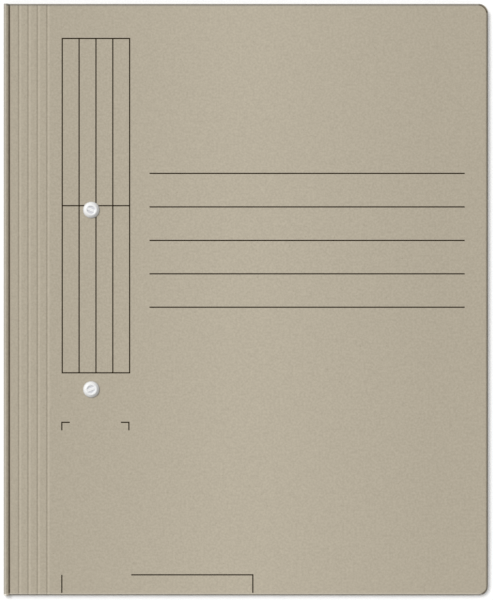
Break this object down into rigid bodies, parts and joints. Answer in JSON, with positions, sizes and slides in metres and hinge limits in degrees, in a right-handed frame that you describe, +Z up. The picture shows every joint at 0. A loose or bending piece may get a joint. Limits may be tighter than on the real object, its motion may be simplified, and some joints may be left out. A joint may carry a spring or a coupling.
{
  "type": "fastener folder",
  "caption": "Card folder with a rounded spine bead, a groove and four score lines beside it, and a two-prong fastener held in the front cover by round plastic head screws.",
  "frame": {"origin": "middle of the closed folder's outline, at the back cover's underside", "axes": "+X from the spine to the open edge, +Y to the folder's top edge, +Z up through the front cover"},
  "size_m": [0.216, 0.264, 0.0072],
  "materials": {
    "card": "matt recycled card, fine mottled fibre",
    "strip_card": "matt card, glued on",
    "white_plastic": "glossy moulded plastic",
    "bar_steel": "bright pressed tin plate"
  },
  "bodies": {
    "back_cover": {"back_cover": "card", "spine_bead": "card"},
    "score_strip_1": {"score_strip_1": "card"},
    "score_strip_2": {"score_strip_2": "card"},
    "score_strip_3": {"score_strip_3": "card"},
    "score_strip_4": {"score_strip_4": "card"},
    "front_cover": {"front_cover": "card", "reinforcing_strip": "strip_card", "compressor_bar": "bar_steel", "prong_upper": "white_plastic", "prong_lower": "white_plastic"},
    "keeper_upper": {"keeper_upper": "white_plastic"},
    "keeper_lower": {"keeper_lower": "white_plastic"},
    "head_screw_upper": {"head_screw_upper": "white_plastic"},
    "head_screw_lower": {"head_screw_lower": "white_plastic"}
  },
  "joints": [
    {"name": "open_cover", "type": "hinge", "parent": "back_cover", "child": "score_strip_1", "pos_m": [-0.10554, 0, 0.0054], "axis": [0, -1, 0], "range_deg": [0, 180]},
    {"name": "fold_score_1", "type": "hinge", "parent": "score_strip_1", "child": "score_strip_2", "pos_m": [-0.1011, 0, 0.0054], "axis": [0, -1, 0], "range_deg": [0, 45]},
    {"name": "fold_score_2", "type": "hinge", "parent": "score_strip_2", "child": "score_strip_3", "pos_m": [-0.0969, 0, 0.0054], "axis": [0, -1, 0], "range_deg": [0, 45]},
    {"name": "fold_score_3", "type": "hinge", "parent": "score_strip_3", "child": "score_strip_4", "pos_m": [-0.0927, 0, 0.0054], "axis": [0, -1, 0], "range_deg": [0, 45]},
    {"name": "fold_score_4", "type": "hinge", "parent": "score_strip_4", "child": "front_cover", "pos_m": [-0.0885, 0, 0.0054], "axis": [0, -1, 0], "range_deg": [0, 45]},
    {"name": "slide_keeper_upper", "type": "slide", "parent": "front_cover", "child": "keeper_upper", "axis": [0, -1, 0], "range_m": [0, 0.0155]},
    {"name": "slide_keeper_lower", "type": "slide", "parent": "front_cover", "child": "keeper_lower", "axis": [0, 1, 0], "range_m": [0, 0.0155]},
    {"name": "turn_head_upper", "type": "hinge", "parent": "front_cover", "child": "head_screw_upper", "pos_m": [-0.0689, 0.04, 0.0056], "axis": [0, 0, 1], "continuous": true},
    {"name": "turn_head_lower", "type": "hinge", "parent": "front_cover", "child": "head_screw_lower", "pos_m": [-0.0689, -0.04, 0.0056], "axis": [0, 0, 1], "continuous": true}
  ]
}
